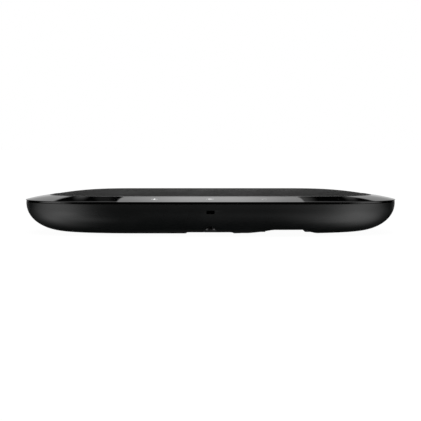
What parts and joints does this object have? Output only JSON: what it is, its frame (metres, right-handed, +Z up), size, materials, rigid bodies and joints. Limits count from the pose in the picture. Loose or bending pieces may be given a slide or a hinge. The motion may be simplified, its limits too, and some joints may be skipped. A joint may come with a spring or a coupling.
{
  "type": "conference speakerphone",
  "caption": "Low desktop conference speakerphone with a domed perforated speaker, glossy touch bezel, hidden driver and a USB lead that winds into a trough underneath.",
  "frame": {"origin": "on the table plane, under the centre of the housing", "axes": "+Z up out of the speaker grille, -Y towards the user (the touch strip side), +X to the right seen from the front"},
  "size_m": [0.327, 0.195, 0.0379],
  "materials": {
    "case_plastic": "satin black moulded plastic with a fine grain",
    "bezel_gloss": "piano black",
    "trim_black": "glossy black",
    "grille_steel": "perforated sheet, dark grey powder coat",
    "scrim_cloth": "fine black acoustic cloth",
    "light_guide": "smoked translucent plastic",
    "inner_plastic": "black moulding",
    "rubber": "soft black",
    "lead_jacket": "matte black jacket",
    "steel": "nickel plated",
    "circuit_board": "green solder mask",
    "black_component": "moulded black",
    "red_wire": "red insulation",
    "white_plastic": "off-white nylon",
    "ribbon": "flat flexible cable",
    "cone_paper": "coated paper pulp",
    "copper": "enamelled copper winding",
    "magnet": "ferrite",
    "spider_cloth": "resin-stiffened woven cloth"
  },
  "bodies": {
    "housing": {"amplifier_chip": "black_component", "audio_jack": "black_component", "base_plate": "inner_plastic", "base_screw_1": "steel", "base_screw_2": "steel", "base_screw_3": "steel", "base_screw_4": "steel", "cable_grommet": "rubber", "dc_jack": "black_component", "dock_latch": "black_component", "dsp_chip": "black_component", "foot_front_left": "rubber", "foot_front_right": "rubber", "foot_rear_left": "rubber", "foot_rear_right": "rubber", "grille_scrim": "scrim_cloth", "inner_deck": "inner_plastic", "lead_connector": "white_plastic", "light_ring": "light_guide", "lock_plate": "steel", "lower_case": "case_plastic", "main_board": "circuit_board", "mic_board_front_left": "circuit_board", "mic_board_front_right": "circuit_board", "mic_board_rear_left": "circuit_board", "mic_board_rear_right": "circuit_board", "mic_boot_front_left": "rubber", "mic_boot_front_right": "rubber", "mic_boot_rear_left": "rubber", "mic_boot_rear_right": "rubber", "output_capacitor": "black_component", "port_board": "circuit_board", "port_cable": "black_component", "radio_shield": "steel", "speaker_basket": "inner_plastic", "speaker_cable": "red_wire", "speaker_chamber": "inner_plastic", "speaker_gasket": "rubber", "speaker_grille": "grille_steel", "speaker_magnet": "magnet", "speaker_screw_1": "steel", "speaker_screw_2": "steel", "speaker_screw_3": "steel", "speaker_screw_4": "steel", "speaker_spider": "spider_cloth", "speaker_surround": "rubber", "speaker_top_plate": "steel", "speaker_yoke": "steel", "top_bezel": "bezel_gloss", "touch_board": "circuit_board", "touch_ribbon": "ribbon", "trim_ring": "trim_black", "usb_lead": "lead_jacket", "usb_socket": "steel"},
    "cone": {"speaker_cone": "cone_paper", "voice_coil": "copper", "dust_cap": "cone_paper"},
    "usb_plug": {"plug_body": "lead_jacket", "plug_shell": "steel", "plug_tongue": "white_plastic"}
  },
  "joints": [
    {"name": "cone_travel", "type": "slide", "parent": "housing", "child": "cone", "axis": [0, 0, 1], "range_m": [-0.002, 0.002], "stiffness_N_per_m": 1200},
    {"name": "plug_pull", "type": "slide", "parent": "housing", "child": "usb_plug", "axis": [0, 0, -1], "range_m": [0, 0.016]}
  ]
}
